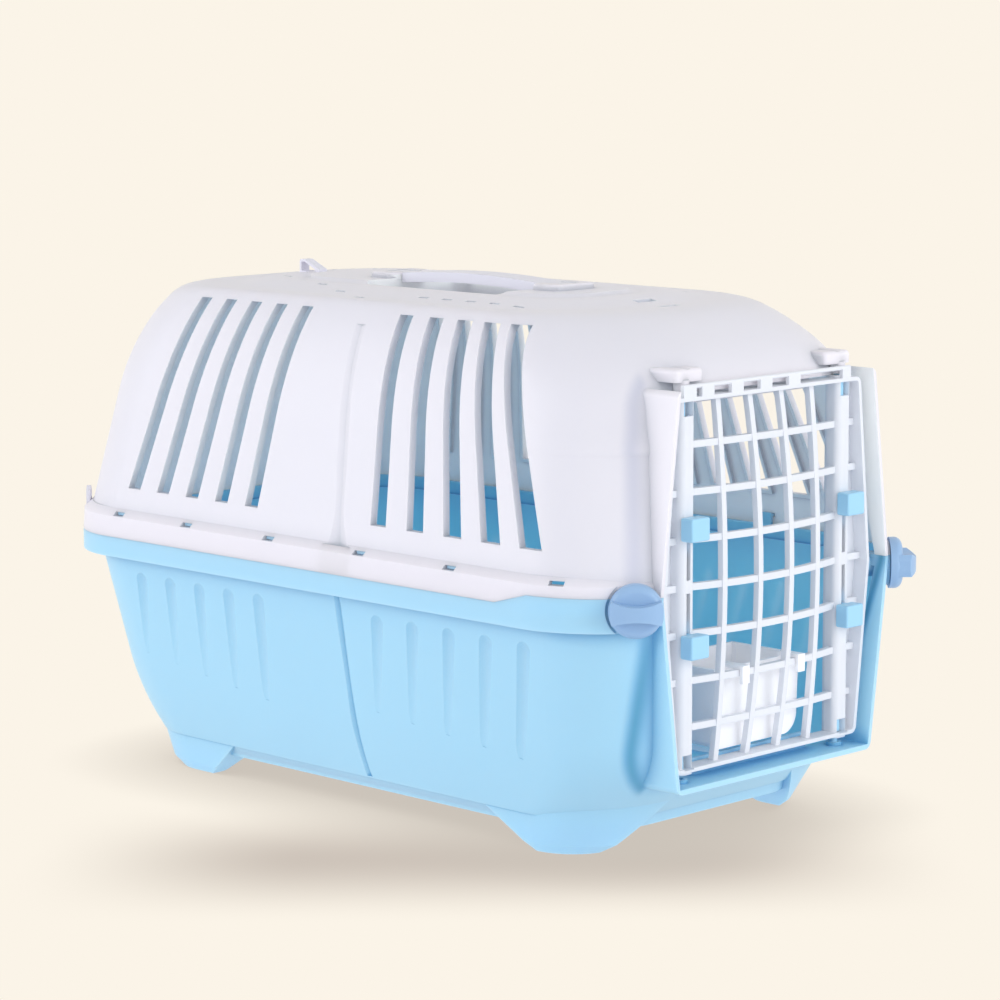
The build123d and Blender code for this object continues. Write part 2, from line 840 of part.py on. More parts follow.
# Strap loop near the rear end of the roof
loop_base_z = crown_z - crown_fall - 1.0
loop_front_x = rear_loop_x + rear_loop_length
loop_outline = [
    (rear_loop_x, loop_base_z),
    (loop_front_x, loop_base_z),
    (loop_front_x, loop_front_z),
    (rear_loop_x + loop_crest_end, rear_loop_top_z),
    (rear_loop_x + loop_crest_start, rear_loop_top_z),
    (rear_loop_x, rear_loop_top_z - loop_strap),
]
loop_eye = [
    (rear_loop_x + loop_strap, loop_eye_bottom_z),
    (loop_front_x - 2.5 * loop_strap, loop_eye_bottom_z),
    (loop_front_x - 2.5 * loop_strap, loop_front_z),
    (rear_loop_x + loop_crest_end, rear_loop_top_z - loop_strap),
    (rear_loop_x + loop_strap, rear_loop_top_z - loop_strap),
]
rear_loop = xz_prism(loop_outline, -rear_loop_half, rear_loop_half)
rear_loop -= xz_prism(loop_eye, -rear_loop_half - 1, rear_loop_half + 1)
rear_loop -= upper_outer
hand_over(rear_loop, "rear_strap_loop")


# Carrying handle with a tongue and cross pin at each end
def arch(x0, x1, end_z, crest_z, thickness, half):
    middle = (x0 + x1) / 2
    upper = ThreePointArc((x0, end_z), (middle, crest_z), (x1, end_z))
    lower = ThreePointArc((x1, end_z - thickness), (middle, crest_z - thickness), (x0, end_z - thickness))
    face = make_face(upper + Line(upper @ 1, lower @ 0) + lower + Line(lower @ 1, upper @ 0))
    upright = Plane(origin=(0, half, 0), x_dir=(1, 0, 0), z_dir=(0, -1, 0))
    return extrude(upright * face, amount=2 * half, dir=(0, -1, 0))


handle = arch(
    handle_rear_x,
    handle_front_x,
    handle_end_z,
    handle_crest_z,
    handle_grip_thickness,
    handle_grip_half,
)
for pin_x, end in zip(handle_pin_xs, (-1, 1)):
    tongue_end_x = pin_x + end * handle_tongue_length / 2
    tongue_root_x = pin_x - end * (handle_tongue_length / 2 + 1)
    tongue = block(
        min(tongue_end_x, tongue_root_x), max(tongue_end_x, tongue_root_x),
        -tongue_half + slide_clearance, tongue_half - slide_clearance, roof_z + seat_gap, handle_end_z,
    )
    handle += tongue
pin_length_y = 2 * (pedestal_half - pin_end_recess - pin_end_gap)
handle_pins = []
for pin_x in handle_pin_xs:
    pin_place = Pos(pin_x, 0, handle_pin_z) * Rot(90, 0, 0)
    handle -= pin_place * Cylinder(handle_pin_radius + seat_gap / 2, 4 * tongue_half)
    handle_pins.append(pin_place * Cylinder(handle_pin_radius, pin_length_y))
hand_over(handle, "carry_handle")
hand_over(handle_pins[0], "handle_pin_rear")
hand_over(handle_pins[1], "handle_pin_front")


# Door: rim, webs, channels, top bar and grille
def door_points(inset):
    low = door_bottom_z + inset
    high = door_inner_top_z - inset
    points = []
    for side, order in ((1, (low, door_mid_z, high)), (-1, (high, door_mid_z, low))):
        for z in order:
            if z < door_mid_z:
                half = door_bottom_half
            elif z > door_mid_z:
                half = door_top_half
            else:
                half = door_mid_half
            points.append((side * (half - inset), z))
    return points


def rounded_prism(points, x0, x1, radius):
    prism = yz_prism(points, x0, x1)
    return fillet(prism.edges().filter_by(Axis.X), radius)


def bulge_arch(half_span, thickness, sag):
    outer = ThreePointArc(
        (grille_x + thickness / 2, -half_span),
        (grille_x + sag + thickness / 2, 0),
        (grille_x + thickness / 2, half_span),
    )
    inner = ThreePointArc(
        (grille_x - thickness / 2, half_span),
        (grille_x + sag - thickness / 2, 0),
        (grille_x - thickness / 2, -half_span),
    )
    return make_face(outer + Line(outer @ 1, inner @ 0) + inner + Line(inner @ 1, outer @ 0))


def row_sag(z):
    return grille_bulge * (1 - ((z - grille_centre_z) / grille_half_height) ** 2)


def column_sag(y):
    return grille_bulge * (1 - (y / channel_y) ** 2)


rim_outer = rounded_prism(door_points(0), rim_rear_x, rim_front_x, rim_corner)
rim_inner_corner = rim_corner - rim_thickness
rim_inner = rounded_prism(door_points(rim_thickness), rim_rear_x - 1, rim_front_x + 1, rim_inner_corner)
door = rim_outer - rim_inner
webs = rounded_prism(door_points(0), rim_rear_x, rim_rear_x + web_thickness, rim_corner)
webs -= block(rim_rear_x - 1, rim_front_x, -channel_y, channel_y, 0, crown_z)
door += webs

channel_length = channel_top_z - channel_bottom_z
channel_profile = RectangleRounded(channel_width, channel_width, channel_corner)
for side in (-1, 1):
    place = Pos(door_axis_x, side * channel_y, channel_bottom_z)
    door += place * extrude(channel_profile, amount=channel_length)

row_levels = [grille_row_top_z - grille_row_pitch * index for index in range(grille_rows)]
for z in row_levels:
    row = extrude(bulge_arch(channel_y, grille_bar, row_sag(z)), amount=grille_bar, dir=(0, 0, 1))
    door += Pos(0, 0, z - grille_bar / 2) * row
    for y0, y1 in ((-door_mid_half, -channel_y), (channel_y, door_mid_half)):
        door += block(
            grille_x - grille_bar / 2,
            grille_x + grille_bar / 2,
            y0,
            y1,
            z - grille_bar / 2,
            z + grille_bar / 2,
        )
column_ys = [grille_column_pitch * (index - (grille_columns - 1) / 2) for index in range(grille_columns)]
for y in column_ys:
    arch_face = bulge_arch(grille_half_height, grille_bar, column_sag(y))
    column = extrude(arch_face, amount=grille_bar, dir=(0, 0, 1))
    upright = Pos(grille_column_lead, y + grille_bar / 2, grille_centre_z) * Rot(90, 0, 0) * column
    door += upright & block(0, front_x, -channel_y, channel_y, door_bottom_z, door_inner_top_z)
channel_outer_y = channel_y + channel_width / 2
door &= rim_outer + block(0, front_x, -channel_outer_y, channel_outer_y, channel_bottom_z, channel_top_z)

bar_length = bar_near_end + bar_far_end
bar_centre_y = (bar_far_end - bar_near_end) / 2
door += Pos(top_bar_x, bar_centre_y, top_bar_z) * Rot(90, 0, 0) * Cylinder(top_bar_radius, bar_length)
tie_spans = [(-bar_near_end, -post_inner_y), (post_inner_y, bar_far_end)]
for index in range(tie_count):
    y = tie_start_y + tie_spacing * index
    tie_spans.append((y - tie_width / 2, y + tie_width / 2))
bar_rear_x = top_bar_x - top_bar_radius
bar_front_x = top_bar_x + top_bar_radius
for y0, y1 in tie_spans:
    door += block(bar_rear_x, bar_front_x, y0, y1, door_inner_top_z - rim_thickness, top_bar_z)
door += block(
    rim_front_x - 2, bar_front_x, -bar_near_end, bar_far_end,
    door_inner_top_z - rim_thickness, door_inner_top_z,
)


def mirrored_spans(z0, z1):
    return ((z0, z1), (2 * mirror_z - z1, 2 * mirror_z - z0))


bore_radius = rod_radius + running_clearance
bore_top_z = channel_top_z - channel_cap
window_top_z = channel_top_z - pin_window_cap
pin_bore_radius = pin_radius + pin_clearance
window_front_x = door_axis_x + channel_width
for side, high_travel in ((-1, latch_travel), (1, 0.0)):
    y = side * channel_y
    for z0, z1 in mirrored_spans(mirror_z + plug_half, bore_top_z):
        door -= post(door_axis_x, y, z0, z1, bore_radius)
    for z0, z1 in mirrored_spans(bore_top_z - 1, channel_top_z + 1):
        door -= post(door_axis_x, y, z0, z1, pin_bore_radius)
    slot_top = neck_top_z + high_travel + slide_clearance
    half = neck_slot_width / 2
    for z0, z1 in mirrored_spans(mirror_z + bridge_half, slot_top):
        door -= block(door_axis_x, window_front_x, y - half, y + half, z0, z1)
    half = pin_window_width / 2
    for z0, z1 in mirrored_spans(window_top_z - pin_window_height, window_top_z):
        door -= block(door_axis_x, window_front_x, y - half, y + half, z0, z1)
    door += post(door_axis_x, y, mirror_z - seat_post_half, mirror_z + seat_post_half, seat_post_radius)
hand_over(door, "front_door")


# Latch rods with thumb blocks
def latch_rod(side, shoulder_z):
    y = side * channel_y
    rod = post(door_axis_x, y, rod_inner_end_z, shoulder_z, rod_radius)
    rod += post(door_axis_x, y, shoulder_z - 1, shoulder_z + pin_length, pin_radius)
    rod += block(
        door_axis_x, block_rear_x + 1, y - neck_width / 2, y + neck_width / 2, neck_bottom_z, neck_top_z
    )
    thumb = block(
        block_rear_x, block_front_x, y - block_width / 2, y + block_width / 2,
        block_centre_z - block_height / 2, block_centre_z + block_height / 2,
    )
    rod += fillet(thumb.edges(), block_edge)
    return rod


flip = Pos(0, 0, mirror_z) * Rot(180, 0, 0) * Pos(0, 0, -mirror_z)
near_upper_rod = latch_rod(-1, near_shoulder_z)
near_lower_rod = flip * latch_rod(1, near_shoulder_z)
far_upper_rod = latch_rod(1, far_shoulder_z)
far_lower_rod = flip * latch_rod(-1, far_shoulder_z)
hand_over(near_upper_rod, "latch_rod_near_upper")
hand_over(near_lower_rod, "latch_rod_near_lower")
hand_over(far_upper_rod, "latch_rod_far_upper")
hand_over(far_lower_rod, "latch_rod_far_lower")


# Latch springs: one unbroken coil each, drawn as arcs that meet smoothly
def helix_point(turn, radius, pitch):
    angle = 2 * math.pi * turn
    return Vector(radius * math.cos(angle), radius * math.sin(angle), pitch * turn)


def helix_tangent(turn, radius, pitch):
    angle = 2 * math.pi * turn
    rise = pitch / (2 * math.pi)
    return Vector(-radius * math.sin(angle), radius * math.cos(angle), rise).normalized()


def biarc(start, start_tangent, end, end_tangent):
    chord = end - start
    along = chord.dot(start_tangent + end_tangent)
    turn = 2 * (1 - start_tangent.dot(end_tangent))
    reach = (math.sqrt(along * along + turn * chord.dot(chord)) - along) / turn
    middle = (start + end + (start_tangent - end_tangent) * reach) * 0.5
    first = TangentArc(start, middle, tangent=start_tangent)
    second = TangentArc(middle, end, tangent=first % 1)
    return [first, second]


def coil(radius, pitch, turns):
    start = helix_point(0, radius, pitch)
    heading = helix_tangent(0, radius, pitch)
    edges = [Line(start - heading * spring_wire, start)]
    for index in range(2 * turns):
        here = index / 2
        there = (index + 1) / 2
        edges += biarc(
            helix_point(here, radius, pitch),
            helix_tangent(here, radius, pitch),
            helix_point(there, radius, pitch),
            helix_tangent(there, radius, pitch),
        )
    finish = edges[-1] @ 1
    edges.append(Line(finish, finish + (edges[-1] % 1) * spring_wire))
    path = Wire([edge.edge() for edge in edges])
    profile = Plane(origin=path @ 0, z_dir=path % 0) * Circle(spring_wire / 2)
    return sweep(profile, path=path)


def least_gap(radius, pitch, turns):
    points = [helix_point(index / 24, radius, pitch) for index in range(24 * turns + 1)]
    gaps = []
    for index, point in enumerate(points):
        gaps += [(point - other).length for other in points[index + 12:]]
    return min(gaps) - spring_wire


spring_base_z = mirror_z + plug_half
spring_room = rod_inner_end_z - spring_base_z
spring_pitch = (spring_room - spring_wire - 4 * seat_gap) / spring_turns
print("spring gap", round(least_gap(spring_coil_radius, spring_pitch, spring_turns), 3))
spring = coil(spring_coil_radius, spring_pitch, spring_turns)
spring_lift = spring_base_z + spring_wire / 2 + 2 * seat_gap
near_upper_spring = Pos(door_axis_x, -channel_y, spring_lift) * spring
far_upper_spring = Pos(door_axis_x, channel_y, spring_lift) * spring
near_lower_spring = flip * far_upper_spring
far_lower_spring = flip * near_upper_spring
hand_over(near_upper_spring, "latch_spring_near_upper")
hand_over(near_lower_spring, "latch_spring_near_lower")
hand_over(far_upper_spring, "latch_spring_far_upper")
hand_over(far_lower_spring, "latch_spring_far_lower")


# Turn knobs with their locking cams
def bow_tie():
    end_half = grip_length / 2
    top_arc = ThreePointArc(
        (-end_half, grip_end_width / 2), (0, grip_waist_width / 2), (end_half, grip_end_width / 2)
    )
    low_arc = ThreePointArc(
        (end_half, -grip_end_width / 2), (0, -grip_waist_width / 2), (-end_half, -grip_end_width / 2)
    )
    return make_face(top_arc + Line(top_arc @ 1, low_arc @ 0) + low_arc + Line(low_arc @ 1, top_arc @ 0))


def lock_knob(side):
    disc = Pos(0, 0, knob_disc_thickness / 2) * Cylinder(knob_radius, knob_disc_thickness)
    disc = fillet(disc.edges().sort_by(Axis.Z)[-1], knob_disc_edge)
    grip = Pos(0, 0, 1) * extrude(bow_tie(), amount=grip_total_height, dir=(0, 0, 1))
    ball_half = knob_radius - 0.2
    crown = ThreePointArc(
        (-ball_half, grip_total_height - grip_end_drop), (0, grip_total_height),
        (ball_half, grip_total_height - grip_end_drop),
    )
    crown_face = make_face(
        crown
        + Polyline((ball_half, grip_total_height - grip_end_drop), (ball_half, 1), (-ball_half, 1),
                   (-ball_half, grip_total_height - grip_end_drop))
    )
    upright = Plane(origin=(0, 2 * knob_radius, 0), x_dir=(1, 0, 0), z_dir=(0, -1, 0))
    crown_prism = extrude(upright * crown_face, amount=4 * knob_radius, dir=(0, -1, 0))
    knob = disc + (grip & crown_prism & Pos(0, 0, 8) * Cylinder(ball_half, 20))
    cam_back = pad_back + cam_gap + cam_thickness
    stem = Pos(0, 0, -(knob_seat + cam_back) / 2) * Cylinder(shaft_radius, knob_seat + cam_back)
    knob += stem
    return Location(knob_plane(side, knob_seat)) * knob


def knob_cam(side):
    back = -(pad_back + cam_gap + cam_thickness)
    lever = extrude(SlotCenterToCenter(cam_length, cam_width, rotation=90), amount=cam_thickness)
    lever = Pos(0, cam_length / 2, 0) * lever
    lever -= Cylinder(shaft_radius, 3 * cam_thickness)
    level = knob_plane(side, back)
    level_x = level.x_dir if level.y_dir.Z > 0 else -level.x_dir
    return Location(Plane(origin=level.origin, x_dir=level_x, z_dir=level.z_dir)) * lever


knobs = [lock_knob(-1), lock_knob(1)]
cams = [knob_cam(-1), knob_cam(1)]
hand_over(knobs[0], "lock_knob_near")
hand_over(knobs[1], "lock_knob_far")
hand_over(cams[0], "knob_cam_near")
hand_over(cams[1], "knob_cam_far")


# Feeding bowl with two hooks over a grille bar
def bowl_body(inset, bottom_z, top_z, draft):
    outline = [
        (bowl_near_y + inset + draft, bottom_z),
        (bowl_far_y - inset - draft, bottom_z),
        (bowl_far_y - inset, top_z),
        (bowl_near_y + inset, top_z),
    ]
    prism = yz_prism(outline, bowl_front_x - bowl_depth + inset, bowl_front_x - inset)
    near_edge = prism.edges().filter_by(Axis.X).sort_by(Axis.Z)[:2].sort_by(Axis.Y)[0]
    prism = fillet(near_edge, bowl_near_corner - inset)
    far_edge = prism.edges().filter_by(Axis.X).sort_by(Axis.Y)[-2:].sort_by(Axis.Z)[0]
    return fillet(far_edge, bowl_far_corner - inset)


hook_bar_z = row_levels[hook_row]
hook_bar_x = grille_x + row_sag(hook_bar_z) * (1 - (hook_y / channel_y) ** 2)
hook_floor_z = hook_bar_z + grille_bar / 2 + seat_gap / 2
bowl = bowl_body(0, bowl_bottom_z, bowl_top_z, bowl_draft)
bowl -= bowl_body(bowl_wall, bowl_bottom_z + bowl_wall, bowl_top_z + 9, bowl_draft)
hook_tip_x = hook_bar_x + grille_bar / 2 + slide_clearance + hook_thickness
hook_root_x = bowl_front_x - bowl_wall
hook_top_z = hook_floor_z + hook_thickness
for y in (-hook_y, hook_y):
    y0 = y - hook_width / 2
    y1 = y + hook_width / 2
    bowl += block(hook_root_x, bowl_front_x, y0, y1, bowl_top_z - 1, hook_top_z)
    bowl += block(hook_root_x, hook_tip_x, y0, y1, hook_floor_z, hook_top_z)
    bowl += block(hook_tip_x - hook_thickness, hook_tip_x, y0, y1, hook_floor_z - hook_drop, hook_top_z)
hand_over(bowl, "feeding_bowl")


# Rear clips: small eyed lugs that sit on the ledge at the rear corners
def rear_clip(side):
    centre_x = rear_x + band_corner_radius
    centre_y = half_width - band_corner_radius
    reach = band_corner_radius - clip_inset
    turn = math.radians(clip_angle)
    place = Pos(centre_x - reach * math.cos(turn), centre_y + reach * math.sin(turn), clip_centre_z)
    place = place * Rot(0, 0, 90 - clip_angle)
    eye = Rot(90, 0, 0) * Cylinder(clip_radius, clip_thickness)
    foot_block = Pos(0, 0, -clip_radius) * Box(2 * clip_radius, clip_thickness, 2 * clip_radius)
    lug = place * (eye + foot_block)
    lug -= upper_outer
    lug -= lip
    lug -= place * Rot(90, 0, 0) * Cylinder(clip_bore, 3 * clip_thickness)
    return lug if side > 0 else mirror(lug, about=Plane.XZ)


clips = [rear_clip(-1), rear_clip(1)]
hand_over(clips[0], "rear_clip_near")
hand_over(clips[1], "rear_clip_far")
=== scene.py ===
import math
import bmesh
import bpy
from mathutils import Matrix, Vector

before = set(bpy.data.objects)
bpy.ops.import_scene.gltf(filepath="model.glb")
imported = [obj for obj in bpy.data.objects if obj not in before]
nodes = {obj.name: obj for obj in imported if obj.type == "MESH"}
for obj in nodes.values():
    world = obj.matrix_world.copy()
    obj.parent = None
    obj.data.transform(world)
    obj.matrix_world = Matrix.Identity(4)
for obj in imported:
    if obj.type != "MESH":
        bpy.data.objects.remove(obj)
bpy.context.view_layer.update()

# Tray base: the lower half of the body, one moulding in sky blue plastic with a satin skin. Its thin wall
# lets some light pass, and the shell's edge sits on the tongue inside its rim.
# A soft shade is painted in the corner where each side wall meets the front collar, painted shade darkens
# its creases, and its inside faces get a brighter painted tone and a faint painted glow.
TRAY_BLUE = (0.415, 0.725, 0.985)
FOLD_REACH = 0.012


def feed(node, feeds):
    """Sets a node's inputs to numbers, to colours of three numbers or to other nodes' outputs."""
    for name, value in feeds.items():
        socket = node.inputs[name]
        if isinstance(value, bpy.types.NodeSocket):
            node.id_data.links.new(value, socket)
        elif socket.type == "RGBA":
            socket.default_value = (*value, 1.0)
        else:
            socket.default_value = value


def add_node(tree, kind, feeds=None, **settings):
    node = tree.nodes.new("ShaderNode" + kind)
    for setting, value in settings.items():
        setattr(node, setting, value)
    feed(node, feeds or {})
    return node


def math_step(tree, operation, *values):
    return add_node(tree, "Math", dict(enumerate(values)), operation=operation).outputs["Value"]


def vector_step(tree, operation, output, first, second):
    return add_node(tree, "VectorMath", {0: first, 1: second}, operation=operation).outputs[output]


def map_range(tree, value, start, end, first=0.0, last=1.0, **settings):
    """Runs from first to last while the value runs from start to end."""
    feeds = {"Value": value, "From Min": start, "From Max": end, "To Min": first, "To Max": last}
    return add_node(tree, "MapRange", feeds, **settings).outputs["Result"]


def mix_colors(tree, mask, bare, covered):
    """The bare colour where the mask is 0 and the covered one where it is 1."""
    first_color, second_color, mixed_color = 6, 7, 2
    feeds = {0: mask, first_color: bare, second_color: covered}
    return add_node(tree, "Mix", feeds, data_type="RGBA").outputs[mixed_color]


def group(name, inputs, outputs):
    """An empty shader group, with its inputs' defaults and its outputs' kinds by name."""
    tree = bpy.data.node_groups.new(name, "ShaderNodeTree")
    for label, default in inputs.items():
        is_color = isinstance(default, tuple)
        kind = "NodeSocketColor" if is_color else "NodeSocketFloat"
        socket = tree.interface.new_socket(name=label, in_out="INPUT", socket_type=kind)
        socket.default_value = (*default, 1.0) if is_color else default
    for label, kind in outputs.items():
        tree.interface.new_socket(name=label, in_out="OUTPUT", socket_type=kind)
    return tree, tree.nodes.new("NodeGroupInput").outputs, tree.nodes.new("NodeGroupOutput")


def build_moulded_grain():
    """The skin of a moulding: wide clouds that change tone and gloss a little, and a fine surface grain."""
    clouds_per_metre = 9.0
    grains_per_metre = 900.0
    darkest, lightest = 0.985, 1.015
    gloss_change = 0.12
    grain_height = 0.0004
    tree, given, result = group(
        "moulded_grain",
        {"Color": (0.8, 0.8, 0.8), "Roughness": 0.4, "Grain": 0.05},
        {"Color": "NodeSocketColor", "Roughness": "NodeSocketFloat", "Normal": "NodeSocketVector"},
    )
    place = add_node(tree, "TexCoord").outputs["Object"]
    fine = add_node(tree, "TexNoise", {"Vector": place, "Scale": grains_per_metre, "Detail": 2.0})
    wide = add_node(tree, "TexNoise", {"Vector": place, "Scale": clouds_per_metre, "Detail": 3.0})
    clouds = wide.outputs["Fac"]
    tone = map_range(tree, clouds, 0.0, 1.0, darkest, lightest)
    toned = add_node(tree, "VectorMath", {0: given["Color"], "Scale": tone}, operation="SCALE")
    bump = {"Height": fine.outputs["Fac"], "Strength": given["Grain"], "Distance": grain_height}
    feed(result, {
        "Color": toned.outputs["Vector"],
        "Roughness": math_step(tree, "MULTIPLY_ADD", clouds, gloss_change, given["Roughness"]),
        "Normal": add_node(tree, "Bump", bump).outputs["Normal"],
    })
    return tree


def build_painted_corner_shade():
    """A soft band of painted shade up the walls on both sides of a piece, along the straight line from Low
    X, Low Z to
    High X, High Z. It fades in just under Low Z, and shows only where the wall is past Inner Y."""
    side_blur = 0.006
    foot_blur = 0.012
    tree, given, result = group(
        "painted_corner_shade",
        {"Low Z": 0.0, "High Z": 0.1, "Low X": 0.2, "High X": 0.2, "Half Width": 0.01, "Inner Y": 0.08},
        {"Mask": "NodeSocketFloat"},
    )
    place = add_node(tree, "TexCoord").outputs["Object"]
    axes = add_node(tree, "SeparateXYZ", {"Vector": place}).outputs
    line_x = map_range(
        tree, axes["Z"], given["Low Z"], given["High Z"], given["Low X"], given["High X"], clamp=False
    )
    off_line = math_step(tree, "ABSOLUTE", math_step(tree, "SUBTRACT", axes["X"], line_x))
    band = map_range(tree, off_line, 0.0, given["Half Width"], 1.0, 0.0, interpolation_type="SMOOTHSTEP")
    off_middle = math_step(tree, "ABSOLUTE", axes["Y"])
    side_full = math_step(tree, "ADD", given["Inner Y"], side_blur)
    at_side = map_range(tree, off_middle, given["Inner Y"], side_full, interpolation_type="SMOOTHSTEP")
    foot = math_step(tree, "SUBTRACT", given["Low Z"], foot_blur)
    above_foot = map_range(tree, axes["Z"], foot, given["Low Z"], interpolation_type="SMOOTHSTEP")
    side_band = math_step(tree, "MULTIPLY", band, at_side)
    feed(result, {"Mask": math_step(tree, "MULTIPLY", side_band, above_foot)})
    return tree


def build_inner_side():
    """1 on the inside of a hollow piece, where a face looks towards its middle, back from Reach X."""
    turn_blur = 0.004
    end_blur = 0.004
    tree, given, result = group(
        "inner_side", {"Middle Z": 0.15, "Reach X": 0.2}, {"Mask": "NodeSocketFloat"}
    )
    surface = add_node(tree, "TexCoord").outputs
    middle = add_node(tree, "CombineXYZ", {"Z": given["Middle Z"]}).outputs["Vector"]
    from_middle = vector_step(tree, "SUBTRACT", "Vector", surface["Object"], middle)
    facing_out = vector_step(tree, "DOT_PRODUCT", "Value", from_middle, surface["Normal"])
    faces_in = map_range(tree, facing_out, turn_blur, -turn_blur)
    forward = add_node(tree, "SeparateXYZ", {"Vector": surface["Object"]}).outputs["X"]
    reach_end = math_step(tree, "ADD", given["Reach X"], end_blur)
    behind_collar = map_range(tree, forward, given["Reach X"], reach_end, 1.0, 0.0)
    feed(result, {"Mask": math_step(tree, "MULTIPLY", faces_in, behind_collar)})
    return tree


def build_painted_crease_shade():
    """Painted shade in creases and grooves: a deeper colour where the surface folds in on itself within
    Reach.
    """
    shut, open_enough = 0.70, 0.985
    tree, given, result = group(
        "painted_crease_shade",
        {"Color": (0.8, 0.8, 0.8), "Painted Shade": (0.5, 0.5, 0.5), "Reach": FOLD_REACH},
        {"Color": "NodeSocketColor"},
    )
    # Ambient occlusion within Reach sets how much painted crease shade the colour gets.
    fold = add_node(tree, "AmbientOcclusion", {"Distance": given["Reach"]}, samples=8, only_local=True)
    openness = map_range(tree, fold.outputs["AO"], shut, open_enough)
    feed(result, {"Color": mix_colors(tree, openness, given["Painted Shade"], given["Color"])})
    return tree


moulded_grain = build_moulded_grain()
painted_corner_shade = build_painted_corner_shade()
inner_side = build_inner_side()
painted_crease_shade = build_painted_crease_shade()


def shader_of(material):
    return material.node_tree.nodes["Principled BSDF"]


def plastic(name, color, roughness, grain_depth, scatter, scatter_depth=0.004):
    """A moulded plastic. Scatter is the share of the light that enters it, and the depth is in metres."""
    material = bpy.data.materials.new(name)
    material.use_nodes = True
    surface = add_node(material.node_tree, "Group", name="surface", node_tree=moulded_grain)
    feed(surface, {"Color": color, "Roughness": roughness, "Grain": grain_depth})
    feed(shader_of(material), {
        "Base Color": surface.outputs["Color"],
        "Roughness": surface.outputs["Roughness"],
        "Normal": surface.outputs["Normal"],
        "Subsurface Weight": scatter,
        "Subsurface Scale": scatter_depth,
        "Subsurface Radius": (1.0, 1.0, 1.0),
    })
    return material


def tone_walls(material, outside, corner, painted_corner_shade_color, inner, painted_inside_color, painted_fold_shade_color, painted_glow_color, painted_glow_strength):
    """Gives a hollow moulding painted shade in the corners beside its collar and in its folds, a brighter
    painted colour on its inside faces for the light that its thin wall lets through, and a painted glow
    there too."""
    tree = material.node_tree
    shaded = add_node(tree, "Group", node_tree=painted_corner_shade)
    feed(shaded, corner)
    # Painted shade in the corner beside the collar.
    outer_color = mix_colors(tree, shaded.outputs["Mask"], outside, painted_corner_shade_color)
    within = add_node(tree, "Group", node_tree=inner_side)
    feed(within, inner)
    # A brighter painted colour on the inside faces, standing in for the light that the thin wall passes.
    wall_color = mix_colors(tree, within.outputs["Mask"], outer_color, painted_inside_color)
    folded = add_node(tree, "Group", node_tree=painted_crease_shade)
    feed(folded, {"Color": wall_color, "Painted Shade": painted_fold_shade_color, "Reach": FOLD_REACH})
    feed(tree.nodes["surface"], {"Color": folded.outputs["Color"]})
    unlit = (0.0, 0.0, 0.0)
    # A painted glow on the inside faces, for the light that the thin wall passes.
    painted_passed_light = mix_colors(tree, within.outputs["Mask"], unlit, painted_glow_color)
    feed(shader_of(material), {"Emission Color": painted_passed_light, "Emission Strength": painted_glow_strength})


def dress(material, *names):
    for name in names:
        piece = nodes[name]
        piece.data.materials.clear()
        piece.data.materials.append(material)


tray_blue = plastic(
    "tray_sky_blue", TRAY_BLUE, roughness=0.34, grain_depth=0.05, scatter=0.5, scatter_depth=0.008
)
# Painted shade and painted light: the corner shade, the crease shade, the brighter inside and the inside
# glow are painted into the tray's colour.
tone_walls(
    tray_blue,
    outside=TRAY_BLUE,
    corner={
        "Low X": 0.2078,
        "Low Z": 0.040,
        "High X": 0.2287,
        "High Z": 0.136,
        "Half Width": 0.005,
        "Inner Y": 0.078,
    },
    painted_corner_shade_color=(0.12, 0.40, 0.60),
    inner={"Middle Z": 0.15, "Reach X": 0.205},
    painted_inside_color=(0.34, 0.77, 1.0),
    painted_fold_shade_color=(0.19, 0.47, 0.72),
    painted_glow_color=(0.08, 0.38, 1.0),
    painted_glow_strength=0.05,
)
dress(tray_blue, "base_tray")

# Upper shell: the vented roof and walls, one moulding in white plastic of the same make as the tray. Snap
# tabs on the tray catch in its lip windows, and the upper half of the front collar is part of it.
# The same painted soft shade stands beside its half of the collar, with painted crease shade, a brighter
# painted inside and a faint painted glow inside.
SHELL_WHITE = (0.865, 0.82, 0.875)
shell_white = plastic(
    "shell_white", SHELL_WHITE, roughness=0.34, grain_depth=0.05, scatter=0.5, scatter_depth=0.008
)
# Painted shade and painted light: the corner shade, the crease shade, the brighter inside and the inside
# glow are painted into the shell's colour.
tone_walls(
    shell_white,
    outside=SHELL_WHITE,
    corner={
        "Low X": 0.2265,
        "Low Z": 0.150,
        "High X": 0.2085,
        "High Z": 0.260,
        "Half Width": 0.0055,
        "Inner Y": 0.078,
    },
    painted_corner_shade_color=(0.67, 0.66, 0.75),
    inner={"Middle Z": 0.15, "Reach X": 0.26},
    painted_inside_color=(0.95, 0.97, 0.96),
    painted_fold_shade_color=(0.60, 0.60, 0.64),
    painted_glow_color=(0.93, 1.0, 0.95),
    painted_glow_strength=0.05,
)
dress(shell_white, "top_shell")

# Carry handle, strap loop and eyed lugs: small white mouldings, a little cooler in tone than the shell. The
# handle lies over its pocket in the roof on two cross pins, and the loop and lugs stand on the shell.
handle_white = plastic("handle_white", (0.82, 0.81, 0.89), roughness=0.36, grain_depth=0.05, scatter=0.2)
dress(handle_white, "carry_handle", "handle_pin_rear", "handle_pin_front")
dress(handle_white, "rear_strap_loop", "rear_clip_near", "rear_clip_far")

# Front door: one stiff white moulding of a rim, bowed bars and two round channels. It hangs between the
# tray's collar and the shell's on the pins of the latch rods.
door_white = plastic(
    "door_white", (0.81, 0.825, 0.87), roughness=0.36, grain_depth=0.04, scatter=0.25, scatter_depth=0.006
)
dress(door_white, "front_door")

